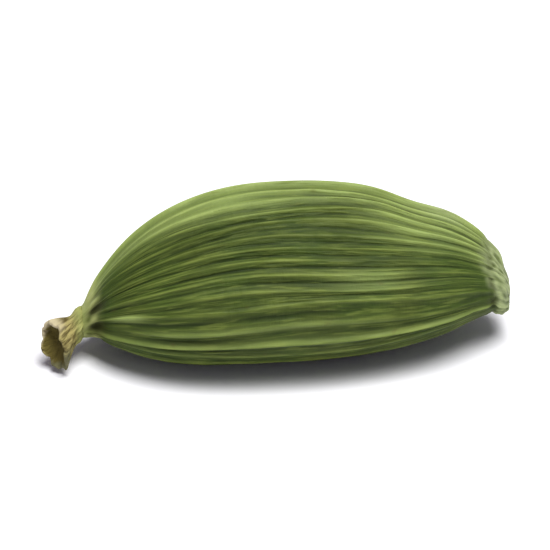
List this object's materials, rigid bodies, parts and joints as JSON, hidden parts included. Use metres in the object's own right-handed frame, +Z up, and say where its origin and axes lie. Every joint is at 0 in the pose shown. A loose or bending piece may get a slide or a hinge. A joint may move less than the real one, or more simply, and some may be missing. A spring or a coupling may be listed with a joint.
{
  "type": "green cardamom pod",
  "caption": "Dried green cardamom pod lying on one face: a ribbed, three-cornered, slightly arched husk with keeled corners and a short, bent, hollow broken stalk.",
  "frame": {"origin": "on the flat spot that the pod rests on, under the middle of the husk's length", "axes": "+X along the pod from the stalk to the flower end, +Y to the back as the picture shows it, +Z up"},
  "size_m": [0.0194, 0.0076, 0.0069],
  "materials": {
    "husk": "dry, papery, slightly waxy yellow-green skin with paler ribs and keels",
    "stalk": "dry, fibrous, tan, with a dark brown torn hollow"
  },
  "bodies": {
    "root": {"husk": "husk", "stalk": "stalk"}
  },
  "joints": []
}
